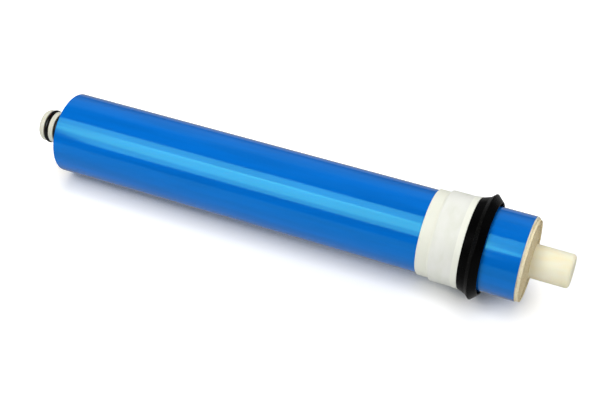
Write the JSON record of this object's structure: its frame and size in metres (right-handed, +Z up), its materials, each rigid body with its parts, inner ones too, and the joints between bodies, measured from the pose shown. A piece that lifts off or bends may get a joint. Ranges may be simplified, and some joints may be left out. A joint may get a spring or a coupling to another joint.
{
  "type": "reverse osmosis membrane element",
  "caption": "Spiral-wound water filter element: a tube wrapped in membrane, net and cloth under a blue film, with a rubber lip seal and a ringed outlet spigot.",
  "frame": {"origin": "centre of the outlet bore at the tube's open nose", "axes": "+X along the tube from the open nose to the closed feed end, +Z up as it lies"},
  "size_m": [0.298, 0.0542, 0.0542],
  "materials": {
    "tube_plastic": "cream moulded plastic, half gloss",
    "ring_rubber": "black moulded rubber, greased",
    "tack_tape": "clear tape over cream tube",
    "carrier_cloth": "stiff ribbed knit, off white",
    "edge_glue": "cured polyurethane glue, straw colour",
    "membrane_sheet": "coated sheet with a felted back, cream",
    "fold_tape": "thin clear tape",
    "spacer_net": "translucent diamond net",
    "blue_film": "glossy adhesive film, blue",
    "seal_rubber": "black moulded rubber, satin",
    "white_tape": "thin white tape, several turns"
  },
  "bodies": {
    "root": {"core_tube": "tube_plastic", "o_ring_outer": "ring_rubber", "o_ring_inner": "ring_rubber", "carrier_tape": "tack_tape", "permeate_carrier": "carrier_cloth", "glue_line": "edge_glue", "membrane_leaf": "membrane_sheet", "fold_tape": "fold_tape", "feed_spacer": "spacer_net", "outer_wrap": "blue_film", "brine_seal": "seal_rubber", "seal_tape": "white_tape"}
  },
  "joints": []
}
